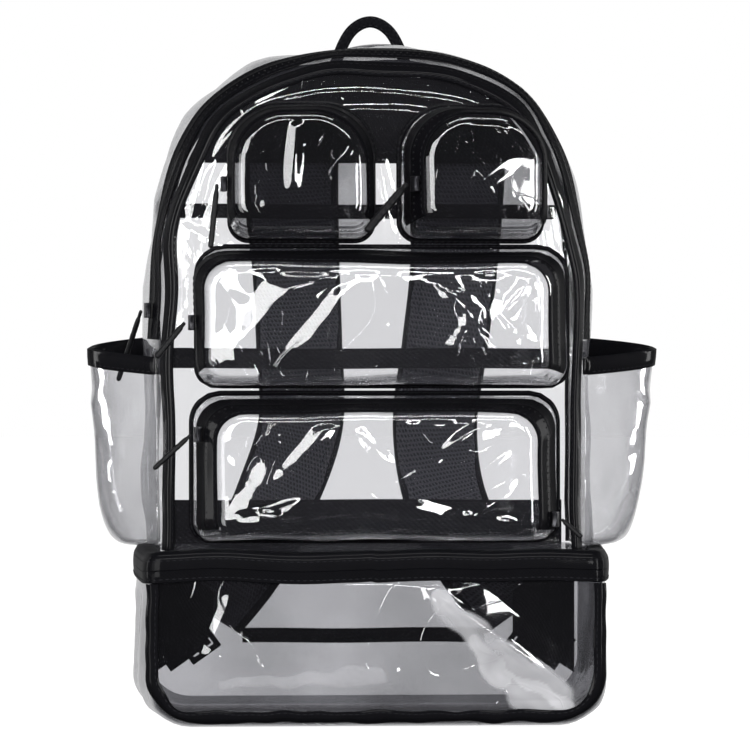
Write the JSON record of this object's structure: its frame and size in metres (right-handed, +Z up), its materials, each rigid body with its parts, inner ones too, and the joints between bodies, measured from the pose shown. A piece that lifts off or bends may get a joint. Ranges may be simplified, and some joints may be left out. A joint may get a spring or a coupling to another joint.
{
  "type": "clear pvc backpack",
  "caption": "Clear PVC backpack with a domed main compartment over a boxed base, zipped box pockets on the front, open side pockets, a grab handle and padded shoulder straps.",
  "frame": {"origin": "middle of the base compartment's floor, on the surface that the bag stands on", "axes": "+Z up, -Y towards the front pockets, +Y towards the shoulder straps, +X on the right seen from the front"},
  "size_m": [0.3833, 0.2227, 0.478],
  "materials": {
    "clear_pvc": "clear glossy PVC sheet with soft creases",
    "black_tape": "black woven binding tape and webbing, stitched",
    "zip_tape": "black woven zip tape with coil teeth",
    "pad_mesh": "black air mesh over foam",
    "moulded_black": "black moulded plastic",
    "black_metal": "black painted zip slider"
  },
  "bodies": {
    "root": {"main_gusset": "clear_pvc", "main_zip": "zip_tape", "front_binding": "black_tape", "back_binding": "black_tape", "front_panel": "clear_pvc", "back_panel": "clear_pvc", "yoke": "black_tape", "back_tape_high": "black_tape", "back_tape_middle": "black_tape", "back_tape_low": "black_tape", "base_tape": "black_tape", "base_gusset": "clear_pvc", "base_front": "clear_pvc", "base_zip": "zip_tape", "base_binding": "black_tape", "upper_left_shell": "clear_pvc", "upper_left_zip": "zip_tape", "upper_left_seam": "black_tape", "upper_right_shell": "clear_pvc", "upper_right_zip": "zip_tape", "upper_right_seam": "black_tape", "middle_shell": "clear_pvc", "middle_zip": "zip_tape", "middle_seam": "black_tape", "lower_shell": "clear_pvc", "lower_zip": "zip_tape", "lower_seam": "black_tape", "side_pocket_left": "clear_pvc", "side_pocket_rim_left": "black_tape", "side_pocket_right": "clear_pvc", "side_pocket_rim_right": "black_tape", "handle": "black_tape", "strap_pad_left": "pad_mesh", "strap_web_left": "black_tape", "strap_tab_left": "black_tape", "strap_buckle_left": "moulded_black", "strap_pad_right": "pad_mesh", "strap_web_right": "black_tape", "strap_tab_right": "black_tape", "strap_buckle_right": "moulded_black", "slider_upper_left": "black_metal", "pull_upper_left": "moulded_black", "slider_upper_right": "black_metal", "pull_upper_right": "moulded_black", "slider_middle": "black_metal", "pull_middle": "moulded_black", "slider_lower": "black_metal", "pull_lower": "moulded_black", "slider_lower_right": "black_metal", "pull_lower_right": "moulded_black", "slider_main": "black_metal", "pull_main": "moulded_black"}
  },
  "joints": []
}
